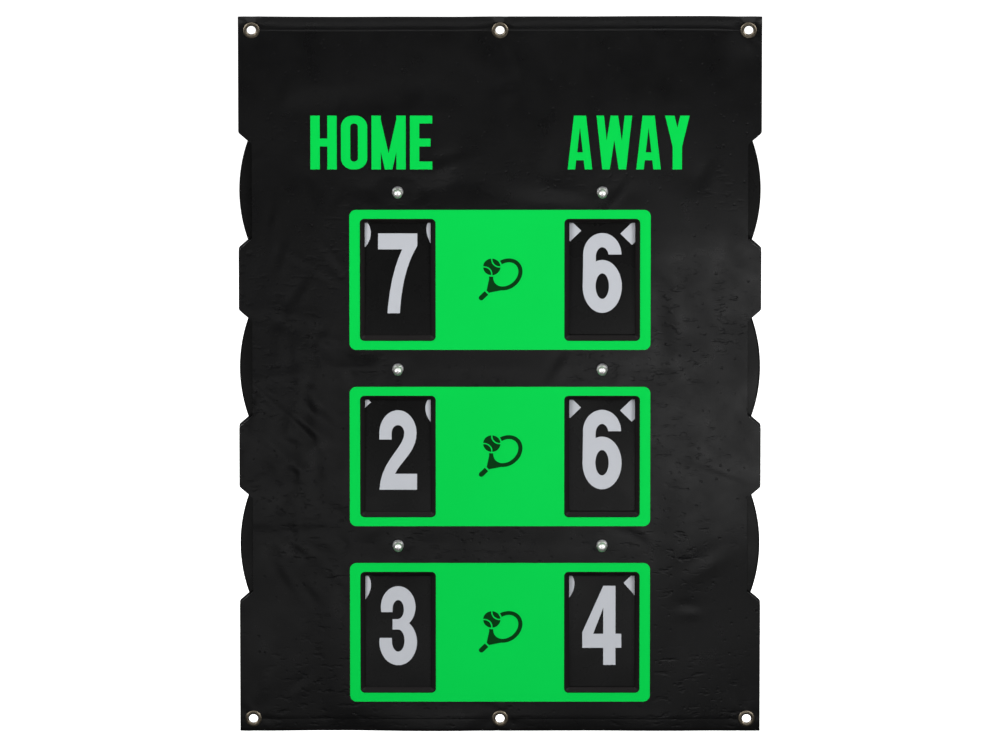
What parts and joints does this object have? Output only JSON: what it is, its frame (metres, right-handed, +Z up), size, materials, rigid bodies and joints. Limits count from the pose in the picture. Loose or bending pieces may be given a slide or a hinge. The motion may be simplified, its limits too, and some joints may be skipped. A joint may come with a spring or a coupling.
{
  "type": "tennis scoring board",
  "caption": "Hanging banner score board with numbered discs that turn behind sight windows, one per player and set.",
  "frame": {"origin": "centre of the eyelet pattern, on the banner's front face", "axes": "-Y out of the front towards the viewer, +X to the viewer's right, +Z up"},
  "size_m": [0.7, 0.0375, 1],
  "materials": {
    "tarpaulin": "black PVC coated tarpaulin, semi-gloss with a fine weave under the coat",
    "back_plastic": "black rigid PVC sheet, fine matt grain",
    "eyelet_metal": "nickel plated brass, dulled",
    "green_film": "bright green vinyl film, satin",
    "dark_film": "very dark green vinyl film, satin",
    "frame_plastic": "black moulded soft PVC, satin",
    "disc_plastic": "black polystyrene sheet, satin",
    "digit_film": "light grey vinyl film, matt",
    "screw_steel": "stainless steel, turned",
    "polished_steel": "stainless steel, polished",
    "nylon": "natural nylon, turned"
  },
  "bodies": {
    "board": {"front_sheet": "tarpaulin", "top_hem": "tarpaulin", "bottom_hem": "tarpaulin", "back_panel": "back_plastic", "eyelets": "eyelet_metal", "eyelet_washers": "eyelet_metal", "word_home": "green_film", "word_away": "green_film", "green_panel_1": "green_film", "green_panel_2": "green_film", "green_panel_3": "green_film", "pictogram_1": "dark_film", "pictogram_2": "dark_film", "pictogram_3": "dark_film", "window_frame_home_1": "frame_plastic", "window_frame_home_2": "frame_plastic", "window_frame_home_3": "frame_plastic", "window_frame_away_1": "frame_plastic", "window_frame_away_2": "frame_plastic", "window_frame_away_3": "frame_plastic", "pivot_screws": "screw_steel", "dome_nuts": "polished_steel", "front_washers": "screw_steel", "back_washers": "screw_steel", "bearing_sleeves": "nylon", "front_spacers_home": "nylon", "front_spacers_away": "nylon", "rear_spacers_home": "nylon", "rear_spacers_away": "nylon"},
    "dial_home_1": {"number_disc_home_1": "disc_plastic", "digits_home_1": "digit_film"},
    "dial_home_2": {"number_disc_home_2": "disc_plastic", "digits_home_2": "digit_film"},
    "dial_home_3": {"number_disc_home_3": "disc_plastic", "digits_home_3": "digit_film"},
    "dial_away_1": {"number_disc_away_1": "disc_plastic", "digits_away_1": "digit_film"},
    "dial_away_2": {"number_disc_away_2": "disc_plastic", "digits_away_2": "digit_film"},
    "dial_away_3": {"number_disc_away_3": "disc_plastic", "digits_away_3": "digit_film"}
  },
  "joints": [
    {"name": "turn_home_1", "type": "hinge", "parent": "board", "child": "dial_home_1", "pos_m": [-0.137, 0.00752, 0.258], "axis": [0, -0.9999, 0.0137], "continuous": true},
    {"name": "turn_home_2", "type": "hinge", "parent": "board", "child": "dial_home_2", "pos_m": [-0.137, 0.00752, 0.01035], "axis": [0, -0.9999, 0.0137], "continuous": true},
    {"name": "turn_home_3", "type": "hinge", "parent": "board", "child": "dial_home_3", "pos_m": [-0.137, 0.00752, -0.2373], "axis": [0, -0.9999, 0.0137], "continuous": true},
    {"name": "turn_away_1", "type": "hinge", "parent": "board", "child": "dial_away_1", "pos_m": [0.137, 0.00922, 0.258], "axis": [0, -0.9999, 0.0137], "continuous": true},
    {"name": "turn_away_2", "type": "hinge", "parent": "board", "child": "dial_away_2", "pos_m": [0.137, 0.00922, 0.01035], "axis": [0, -0.9999, 0.0137], "continuous": true},
    {"name": "turn_away_3", "type": "hinge", "parent": "board", "child": "dial_away_3", "pos_m": [0.137, 0.00922, -0.2373], "axis": [0, -0.9999, 0.0137], "continuous": true}
  ]
}
